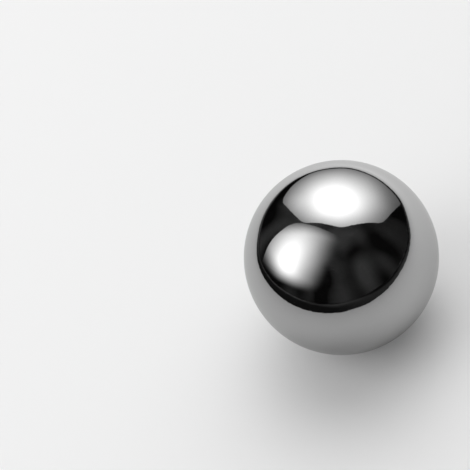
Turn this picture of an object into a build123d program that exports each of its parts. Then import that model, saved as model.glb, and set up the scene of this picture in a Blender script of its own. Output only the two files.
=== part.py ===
from build123d import *
import math
import os

# Stainless steel ice ball: it is frozen, then put in a drink to chill it.
# The real ball is two pressed steel halves, welded together round the middle, filled with
# a cooling liquid, closed, ground and mirror polished. It is sealed and can't be seen into,
# so it is one solid. The origin is the ball's centre, and +Z is the axis of the two halves.
# All sizes are in millimetres.

# Driving dimensions
BALL_DIAMETER = 55.0
# Grinding the weld flush leaves a narrow straight band round the middle of the ball.
WELD_BAND_WIDTH = 1.6


def half_outline():
    """The right half of the ball's section, in the XZ plane: two arcs and the weld band."""
    ball_radius = BALL_DIAMETER / 2
    band_half_width = WELD_BAND_WIDTH / 2
    band_radius = math.sqrt(ball_radius**2 - band_half_width**2)
    band_angle = math.degrees(math.asin(band_half_width / ball_radius))
    half_arc = 90 - band_angle
    with BuildSketch(Plane.XZ) as outline:
        with BuildLine():
            CenterArc((0, 0), ball_radius, -90, half_arc)
            Line((band_radius, -band_half_width), (band_radius, band_half_width))
            CenterArc((0, 0), ball_radius, band_angle, half_arc)
            Line((0, ball_radius), (0, -ball_radius))
        make_face()
    return outline.sketch


def ice_ball():
    """The whole ball, turned about the axis of its two halves."""
    return revolve(half_outline(), Axis.Z)


PIECES = {"ice_ball": ice_ball}

os.makedirs("parts", exist_ok=True)
for node, build in PIECES.items():
    export_step(build(), f"parts/{node}.step")
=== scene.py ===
import math

import bmesh
import bpy
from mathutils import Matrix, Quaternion, Vector


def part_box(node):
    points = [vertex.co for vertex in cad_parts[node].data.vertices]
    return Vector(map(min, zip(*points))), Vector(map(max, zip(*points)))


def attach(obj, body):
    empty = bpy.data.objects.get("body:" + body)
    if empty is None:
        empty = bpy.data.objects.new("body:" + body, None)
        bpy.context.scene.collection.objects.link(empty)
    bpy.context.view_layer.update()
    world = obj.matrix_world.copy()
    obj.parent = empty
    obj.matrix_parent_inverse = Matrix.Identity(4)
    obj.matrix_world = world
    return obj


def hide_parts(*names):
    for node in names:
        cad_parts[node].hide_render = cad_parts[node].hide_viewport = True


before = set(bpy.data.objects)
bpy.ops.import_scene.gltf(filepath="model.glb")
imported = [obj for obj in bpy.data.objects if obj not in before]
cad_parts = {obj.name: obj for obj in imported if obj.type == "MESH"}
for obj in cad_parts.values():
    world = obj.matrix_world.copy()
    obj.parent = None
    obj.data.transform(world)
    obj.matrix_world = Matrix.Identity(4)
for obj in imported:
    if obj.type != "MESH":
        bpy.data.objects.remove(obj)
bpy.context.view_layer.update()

# Ice ball
# Two half shells pressed from stainless steel sheet, welded together round the middle, filled
# with a cooling liquid through a small hole at the bottom and welded shut there. The ball is
# then ground and mirror polished, which leaves a narrow band and a fine ring of the welds.
MM = 0.001
ball_low, ball_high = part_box("ice_ball")
ball_radius = (ball_high.z - ball_low.z) / 2
band_radius = ball_high.x
band_half_width = math.sqrt(ball_radius**2 - band_radius**2)
band_edge_round = 0.05 * MM
band_edge_facets = 2
seam_width = 0.15 * MM
seam_depth = 0.03 * MM
plug_radius = 1.2 * MM
plug_groove_width = 0.08 * MM
plug_groove_depth = 0.02 * MM
facet_angle = math.radians(1)
edge_facet_angle = math.radians(0.15)
plug_facets = 4


def on_ball(angle, radius):
    """The point of the outline at this angle up from the bottom of the ball."""
    return Vector((math.sin(angle), 0, -math.cos(angle))) * radius


def draw_line(outline, start, place):
    """Draws the outline on to a point and returns it."""
    drawn = bmesh.ops.extrude_vert_indiv(outline, verts=[start])
    drawn["verts"][0].co = place
    return drawn["verts"][0]


def draw_arc(outline, start, angle, facet=facet_angle):
    """Draws the outline on as an arc round the ball's centre and returns its last point."""
    drawn = bmesh.ops.spin(
        outline,
        geom=[start],
        cent=(0, 0, 0),
        axis=(0, -1, 0),
        angle=angle,
        steps=max(1, round(angle / facet)),
    )
    return next(part for part in drawn["geom_last"] if isinstance(part, bmesh.types.BMVert))


plug_angle = plug_radius / ball_radius
groove_angle = plug_groove_width / ball_radius
band_angle = math.asin(band_half_width / ball_radius)
lower_arc = math.pi / 2 - band_angle - edge_facet_angle - plug_angle - 2 * groove_angle
upper_arc = math.pi / 2 - band_angle - edge_facet_angle

# The right half of the section, drawn from the bottom of the ball to its top.
ball_mesh = bmesh.new()
point = ball_mesh.verts.new(on_ball(0, ball_radius))
point = draw_arc(ball_mesh, point, plug_angle - groove_angle, plug_angle / plug_facets)
point = draw_arc(ball_mesh, point, groove_angle)
groove_bottom = on_ball(plug_angle + groove_angle / 2, ball_radius - plug_groove_depth)
point = draw_line(ball_mesh, point, groove_bottom)
point = draw_line(ball_mesh, point, on_ball(plug_angle + groove_angle, ball_radius))
point = draw_arc(ball_mesh, point, groove_angle)
point = draw_arc(ball_mesh, point, lower_arc)
point = draw_arc(ball_mesh, point, edge_facet_angle)
seam_half = seam_width / 2
for height, sunk in ((-seam_width, 0), (-seam_half, 0), (0, seam_depth), (seam_half, 0), (seam_width, 0)):
    point = draw_line(ball_mesh, point, Vector((band_radius - sunk, 0, height)))
point = draw_line(ball_mesh, point, Vector((band_radius, 0, band_half_width)))
point = draw_arc(ball_mesh, point, edge_facet_angle)
draw_arc(ball_mesh, point, upper_arc)
bmesh.ops.spin(
    ball_mesh,
    geom=ball_mesh.verts[:] + ball_mesh.edges[:],
    cent=(0, 0, 0),
    axis=(0, 0, 1),
    angle=math.tau,
    steps=round(math.tau / facet_angle),
    use_merge=True,
)
merge_distance = 0.001 * MM
bmesh.ops.remove_doubles(ball_mesh, verts=ball_mesh.verts, dist=merge_distance)
bmesh.ops.recalc_face_normals(ball_mesh, faces=ball_mesh.faces)
band_edges = [
    edge for edge in ball_mesh.edges
    if all(abs(abs(corner.co.z) - band_half_width) < merge_distance for corner in edge.verts)
    and abs(edge.verts[0].co.z - edge.verts[1].co.z) < merge_distance
]
bmesh.ops.bevel(
    ball_mesh,
    geom=band_edges,
    offset=band_edge_round,
    segments=band_edge_facets,
    profile=0.5,
    affect="EDGES",
    material=-1,
)
for face in ball_mesh.faces:
    face.smooth = True
ball_data = bpy.data.meshes.new("ice_ball_polished")
ball_mesh.to_mesh(ball_data)
ball_mesh.free()
ball = bpy.data.objects.new("ice_ball_polished", ball_data)
bpy.context.scene.collection.objects.link(ball)


def linear(hex_colour):
    """An sRGB hex colour as linear RGBA."""
    channels = [int(hex_colour[place:place + 2], 16) / 255 for place in (1, 3, 5)]
    return [c / 12.92 if c <= 0.04045 else ((c + 0.055) / 1.055) ** 2.4 for c in channels] + [1]


def add_node(tree, kind, links=(), **settings):
    """Adds a node. A setting names an input or a property, and a link is an input and its source."""
    node = tree.nodes.new(kind)
    for name, value in settings.items():
        socket = node.inputs.get(name.replace("_", " "))
        if socket is not None:
            socket.default_value = value
        else:
            setattr(node, name, value)
    for name, source in links:
        tree.links.new(source, node.inputs[name])
    return node


# Stainless steel 304, ground and mirror polished on a soft wheel. It reflects about two thirds of
# the light, without colour, in sharp images that the pressed sheet bends a little.
steel = bpy.data.materials.new("mirror_polished_stainless")
steel.use_nodes = True
grain = steel.node_tree
shader = grain.nodes["Principled BSDF"]
shader.inputs["Base Color"].default_value = linear("#D3D3D3")
shader.inputs["Metallic"].default_value = 1
surface = add_node(grain, "ShaderNodeTexCoord").outputs["Object"]

# The press leaves shallow waves in the sheet, which bend the edges of what it mirrors. The noise
# keeps to about a third of the height given here.
wave_length = 14 * MM
wave_height = 0.25 * MM
wave_seed = 0
waves = add_node(grain, "ShaderNodeTexNoise", [("Vector", surface)], noise_dimensions="4D", W=wave_seed,
                 Scale=1 / wave_length, Detail=1)
sheet = add_node(grain, "ShaderNodeBump", [("Height", waves.outputs["Fac"])], Distance=wave_height)

# The wheel leaves hairlines. Real ones are some hundredths of a millimetre apart, too fine to show,
# so they are drawn 0.4 mm apart. They cross in three directions, as the wheel turned the ball.
hairline_spacing = 0.4 * MM
hairline_length = 14 * MM
hairline_depth = 0.0015 * MM
hairline_turns = ((0, 0, 0), (1.1, 0.4, 0), (-0.9, 0.7, 0.5))
normal = sheet.outputs["Normal"]
for turn in hairline_turns:
    laid = add_node(grain, "ShaderNodeMapping", [("Vector", surface)], Rotation=turn,
                    Scale=(1 / hairline_length, 1 / hairline_length, 1 / hairline_spacing))
    lines = add_node(grain, "ShaderNodeTexNoise", [("Vector", laid.outputs["Vector"])], Scale=1, Detail=2)
    scratched = add_node(grain, "ShaderNodeBump", [("Height", lines.outputs["Fac"]), ("Normal", normal)],
                         Distance=hairline_depth)
    normal = scratched.outputs["Normal"]
grain.links.new(normal, shader.inputs["Normal"])

# Polishing is even to the eye, but some patches are a little hazier than others. The noise lies
# almost wholly between the two values given for it.
haze_patch = 7 * MM
noise_low = 0.3
noise_high = 0.7
clear_roughness = 0.015
hazy_roughness = 0.045
haze = add_node(grain, "ShaderNodeTexNoise", [("Vector", surface)], Scale=1 / haze_patch, Detail=3)
polish = add_node(grain, "ShaderNodeMapRange", [("Value", haze.outputs["Fac"])], From_Min=noise_low,
                  From_Max=noise_high, To_Min=clear_roughness, To_Max=hazy_roughness)

# The wheel follows the ground weld less closely, so it keeps a faint satin that ends softly.
weld_satin = 0.07
satin_end_share = 0.1
height = add_node(grain, "ShaderNodeSeparateXYZ", [("Vector", surface)]).outputs["Z"]
off_band = add_node(grain, "ShaderNodeMath", [(0, height)], operation="ABSOLUTE")
on_band = add_node(grain, "ShaderNodeMapRange", [("Value", off_band.outputs["Value"])],
                   From_Min=band_half_width * (1 + satin_end_share),
                   From_Max=band_half_width * (1 - satin_end_share), To_Max=weld_satin)
rough = add_node(grain, "ShaderNodeMath", [(0, polish.outputs["Result"]), (1, on_band.outputs["Result"])],
                 operation="ADD")
grain.links.new(rough.outputs["Value"], shader.inputs["Roughness"])
ball_data.materials.append(steel)

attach(ball, "root")
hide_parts("ice_ball")

# Floor
# A plain pale sheet of matt paper that the ball lies on. It is large enough for its edge to stay
# out of the picture.
floor_radius = 1.4
floor_facets = 128
floor_mesh = bmesh.new()
bmesh.ops.create_circle(floor_mesh, cap_ends=True, segments=floor_facets, radius=floor_radius)
bmesh.ops.translate(floor_mesh, verts=floor_mesh.verts, vec=(0, 0, ball_low.z))
floor_data = bpy.data.meshes.new("floor")
floor_mesh.to_mesh(floor_data)
floor_mesh.free()
floor = bpy.data.objects.new("floor", floor_data)
bpy.context.scene.collection.objects.link(floor)

# Uncoated paper, rolled smooth, which scatters the light evenly with hardly any gloss.
paper = bpy.data.materials.new("matt_paper")
paper.use_nodes = True
paper_shader = paper.node_tree.nodes["Principled BSDF"]
paper_shader.inputs["Base Color"].default_value = linear("#EEEEEE")
paper_shader.inputs["Roughness"].default_value = 0.9
paper_shader.inputs["Specular IOR Level"].default_value = 0.1
floor_data.materials.append(paper)


def direction(azimuth, elevation):
    """A unit vector from the ball. Azimuth 0 is towards the camera and 90 to its right."""
    turn = math.radians(azimuth)
    rise = math.radians(elevation)
    return Vector((math.sin(turn) * math.cos(rise), -math.cos(turn) * math.cos(rise), math.sin(rise)))


# Black drape
# Black velvet hung round the ball as a hood, with painted folds, and laid on the floor up to a round hem.
# Inside the hem, black gauze that thins out under the overhead lamp paints shade on the mirrored floor.
# Only the polished steel shows them, as a painted dark reflection: they neither shade the floor nor hide
# anything from the camera.
drape_radius = 2.0
drape_inner_radius = 8 * MM
drape_lift = 1 * MM
drape_facets = 96
hood_facets = 64
hood_rings = 32
drape_mesh = bmesh.new()
inner = bmesh.ops.create_circle(drape_mesh, segments=drape_facets, radius=drape_inner_radius)
bmesh.ops.translate(drape_mesh, verts=inner["verts"], vec=(0, 0, ball_low.z + drape_lift))
outer = bmesh.ops.extrude_edge_only(drape_mesh, edges=drape_mesh.edges[:])
outer_verts = [part for part in outer["geom"] if isinstance(part, bmesh.types.BMVert)]
widen = drape_radius / drape_inner_radius
bmesh.ops.scale(drape_mesh, verts=outer_verts, vec=(widen, widen, 1))
bmesh.ops.create_uvsphere(drape_mesh, u_segments=hood_facets, v_segments=hood_rings, radius=drape_radius)
bmesh.ops.bisect_plane(
    drape_mesh,
    geom=drape_mesh.verts[:] + drape_mesh.edges[:] + drape_mesh.faces[:],
    plane_co=(0, 0, ball_low.z),
    plane_no=(0, 0, -1),
    clear_outer=True,
)
drape_data = bpy.data.meshes.new("mirror_only_drape")
drape_mesh.to_mesh(drape_data)
drape_mesh.free()
mirror_only_drape = bpy.data.objects.new("mirror_only_drape", drape_data)
bpy.context.scene.collection.objects.link(mirror_only_drape)

# Cotton velvet, woven with a cut pile that swallows nearly all the light. Its folds are painted on the
# smooth hood: a painted sheen makes their crests paler grey, and the hollows keep the velvet's near black.
velvet = bpy.data.materials.new("mirror_only_black_velvet")
velvet.use_nodes = True
pile = velvet.node_tree
velvet_shader = pile.nodes["Principled BSDF"]
velvet_shader.inputs["Roughness"].default_value = 1
velvet_shader.inputs["Specular IOR Level"].default_value = 0
hollow_grey = linear("#131313")[0]
crest_sheen_grey = linear("#4A4A4A")[0]
crest_sheen_start = 0.4
fold_width = 0.8
fold_length = 2.5
fold_seed = 0
place = add_node(pile, "ShaderNodeTexCoord").outputs["Object"]
hung = add_node(pile, "ShaderNodeMapping", [("Vector", place)],
                Scale=(1 / fold_width, 1 / fold_width, 1 / fold_length))
painted_folds = add_node(pile, "ShaderNodeTexNoise", [("Vector", hung.outputs["Vector"])], noise_dimensions="4D",
                 W=fold_seed, Scale=1, Detail=0)
# Painted sheen on the crests of the painted folds, near black in their hollows.
velvet_and_sheen_grey = add_node(pile, "ShaderNodeMapRange", [("Value", painted_folds.outputs["Fac"])], From_Min=crest_sheen_start,
                From_Max=noise_high, To_Min=hollow_grey, To_Max=crest_sheen_grey)
pile.links.new(velvet_and_sheen_grey.outputs["Result"], velvet_shader.inputs["Base Color"])

# Painted shade on the floor as the steel mirrors it: black gauze, open enough for the floor to show through,
# thinnest at one spot under the overhead lamp and thicker away from it as far as the hem, past which lies
# the velvet, which lets nothing through.
thin_azimuth = 151
thin_distance = 0.25
thin_reach = -0.05
thick_reach = 0.75
hem_reach = 0.42
reach = add_node(pile, "ShaderNodeVectorMath", [(0, place)], operation="DISTANCE")
reach.inputs[1].default_value = direction(thin_azimuth, 0) * thin_distance
# Painted shade on the mirrored floor, growing away from the spot under the overhead lamp.
painted_floor_shade = add_node(pile, "ShaderNodeMapRange", [("Value", reach.outputs["Value"])],
                 From_Min=thin_reach, From_Max=thick_reach)
past_hem = add_node(pile, "ShaderNodeMath", [(0, reach.outputs["Value"])], operation="GREATER_THAN")
past_hem.inputs[1].default_value = hem_reach
floor_shade_and_hem = add_node(pile, "ShaderNodeMath", [(0, painted_floor_shade.outputs["Result"]), (1, past_hem.outputs["Value"])],
                     operation="MAXIMUM")
clear = add_node(pile, "ShaderNodeBsdfTransparent")
veil = add_node(pile, "ShaderNodeMixShader", [(0, floor_shade_and_hem.outputs["Value"]), (1, clear.outputs[0]),
                                              (2, velvet_shader.outputs[0])])
pile.links.new(veil.outputs[0], pile.nodes["Material Output"].inputs["Surface"])
drape_data.materials.append(velvet)
# Seen only in the steel, where it paints a dark reflection.
mirror_only_drape.visible_camera = False
mirror_only_drape.visible_diffuse = False
mirror_only_drape.visible_shadow = False


# Softboxes
# Two lamps, each behind a many-sided sheet of white cloth that is stretched on a frame. The cloth is
# brightest before the lamp, and black flags shade it softly from a side. The steel mirrors the cloth
# and the floor is lit by it, but the camera doesn't see it.
def add_softbox(name, azimuth, elevation, roll, distance, sides, half_height, middle, hot_spot, glow_size,
                glow_turn, brightest, dimmest, flags):
    """A softbox that faces the ball, with a corner of its cloth at the top. Its sizes are in metres.

    The middle of the cloth and its hot spot are given from the point that faces the ball. A flag has
    the turn of the line across which it shades, and the places on that line where it is dark and clear.
    """
    corner_round = 0.2
    corner_facets = 6
    fade_power = 3
    cloth_mesh = bmesh.new()
    corner_reach = half_height / math.cos(math.pi / sides)
    bmesh.ops.create_circle(cloth_mesh, cap_ends=True, segments=sides, radius=corner_reach)
    bmesh.ops.bevel(
        cloth_mesh,
        geom=cloth_mesh.verts[:],
        offset=corner_round,
        segments=corner_facets,
        profile=0.5,
        affect="VERTICES",
        material=-1,
    )
    bmesh.ops.translate(cloth_mesh, verts=cloth_mesh.verts, vec=(*middle, 0))
    cloth_data = bpy.data.meshes.new(name)
    cloth_mesh.to_mesh(cloth_data)
    cloth_mesh.free()

    # White nylon that glows as the lamp behind it lights it. Where it is dark it is left clear, so
    # that it doesn't hide the other softbox.
    nylon = bpy.data.materials.new(name + "_nylon")
    nylon.use_nodes = True
    weave = nylon.node_tree
    weave.nodes.clear()
    place = add_node(weave, "ShaderNodeTexCoord").outputs["Object"]
    glow = add_node(weave, "ShaderNodeMapping", [("Vector", place)], vector_type="TEXTURE",
                    Location=(*hot_spot, 0), Rotation=(0, 0, math.radians(glow_turn)), Scale=(*glow_size, 1))
    reach = add_node(weave, "ShaderNodeVectorMath", [(0, glow.outputs["Vector"])], operation="LENGTH")
    inside = add_node(weave, "ShaderNodeMapRange", [("Value", reach.outputs["Value"])], To_Min=1, To_Max=0)
    fade = add_node(weave, "ShaderNodeMath", [(0, inside.outputs["Result"])], operation="POWER")
    fade.inputs[1].default_value = fade_power
    level = add_node(weave, "ShaderNodeMapRange", [("Value", fade.outputs["Value"])],
                     To_Min=dimmest, To_Max=brightest).outputs["Result"]
    for turn, dark_end, clear_end in flags:
        across = add_node(weave, "ShaderNodeVectorMath", [(0, place)], operation="DOT_PRODUCT")
        across.inputs[1].default_value = (math.cos(math.radians(turn)), math.sin(math.radians(turn)), 0)
        shade = add_node(weave, "ShaderNodeMapRange", [("Value", across.outputs["Value"])],
                         interpolation_type="SMOOTHSTEP", From_Min=dark_end, From_Max=clear_end)
        shaded = add_node(weave, "ShaderNodeMath", [(0, level), (1, shade.outputs["Result"])],
                          operation="MULTIPLY")
        level = shaded.outputs["Value"]
    light = add_node(weave, "ShaderNodeEmission", [("Strength", level)])
    clear = add_node(weave, "ShaderNodeBsdfTransparent")
    lit = add_node(weave, "ShaderNodeAddShader", [(0, light.outputs[0]), (1, clear.outputs[0])])
    add_node(weave, "ShaderNodeOutputMaterial", [("Surface", lit.outputs[0])])
    cloth_data.materials.append(nylon)

    softbox = bpy.data.objects.new(name, cloth_data)
    toward = direction(azimuth, elevation)
    softbox.location = toward * distance
    softbox.rotation_mode = "QUATERNION"
    upright = toward.to_track_quat("Z", "Y")
    softbox.rotation_quaternion = upright @ Quaternion((0, 0, 1), math.radians(roll))
    softbox.visible_camera = False
    softbox.visible_shadow = False
    bpy.context.scene.collection.objects.link(softbox)


add_softbox(
    "overhead_softbox",
    azimuth=152,
    elevation=39,
    roll=18,
    distance=1.2,
    sides=6,
    half_height=1.33,
    middle=(0, 0.05),
    hot_spot=(0.13, 0.4),
    glow_size=(2.05, 2.41),
    glow_turn=23,
    brightest=3.3,
    dimmest=0.1,
    flags=[],
)
add_softbox(
    "left_softbox",
    azimuth=-94,
    elevation=42,
    roll=0,
    distance=0.9,
    sides=10,
    half_height=2.15,
    middle=(1.75, -0.5),
    hot_spot=(0.09, -0.19),
    glow_size=(1.24, 2.08),
    glow_turn=10,
    brightest=2.6,
    dimmest=0,
    flags=[(-34, -0.54, -0.19), (104, -0.72, -0.27)],
)

# World
# The even light of a white room, which fills the shadows. What is seen straight, or in a mirror or
# through glass, is a pale backdrop instead, whatever the strength of the fill.
fill_strength = 0.34
world = bpy.data.worlds.new("studio")
bpy.context.scene.world = world
world.use_nodes = True
room = world.node_tree
room.nodes.clear()
rays = add_node(room, "ShaderNodeLightPath")
seen = rays.outputs["Is Camera Ray"]
for kind in ("Is Glossy Ray", "Is Transmission Ray"):
    seen = add_node(room, "ShaderNodeMath", [(0, seen), (1, rays.outputs[kind])],
                    operation="MAXIMUM").outputs["Value"]
fill = add_node(room, "ShaderNodeBackground", Color=linear("#FFFFFF"), Strength=fill_strength)
backdrop = add_node(room, "ShaderNodeBackground", Color=linear("#F4F4F3"), Strength=1)
both = add_node(room, "ShaderNodeMixShader", [(0, seen), (1, fill.outputs[0]), (2, backdrop.outputs[0])])
add_node(room, "ShaderNodeOutputWorld", [("Surface", both.outputs[0])])

# Camera
# A long lens that looks down on the ball, rolled to one side. The ball's place and size in the
# square picture are given in its pixels, and the camera is set so that the ball lies there.
picture_width = 470
ball_pixel = Vector((341.2, 257.5))
ball_pixel_radius = 97.4
focal_pixels = 2250
camera_elevation = 51
camera_roll = -20.8
camera_data = bpy.data.cameras.new("camera")
camera_data.lens = camera_data.sensor_width * focal_pixels / picture_width
camera = bpy.data.objects.new("camera", camera_data)
bpy.context.scene.collection.objects.link(camera)
toward_camera = direction(0, camera_elevation)
ball_half_angle = math.atan(ball_pixel_radius / focal_pixels)
camera.location = toward_camera * (ball_radius / math.sin(ball_half_angle))
off_centre = ball_pixel - Vector((picture_width, picture_width)) / 2
ball_ray = Vector((off_centre.x, -off_centre.y, -focal_pixels)).normalized()
camera.rotation_mode = "QUATERNION"
camera.rotation_quaternion = (
    (-toward_camera).to_track_quat("-Z", "Y")
    @ Quaternion((0, 0, 1), math.radians(camera_roll))
    @ ball_ray.rotation_difference(Vector((0, 0, -1)))
)
bpy.context.scene.camera = camera
bpy.context.scene.view_settings.view_transform = "Standard"
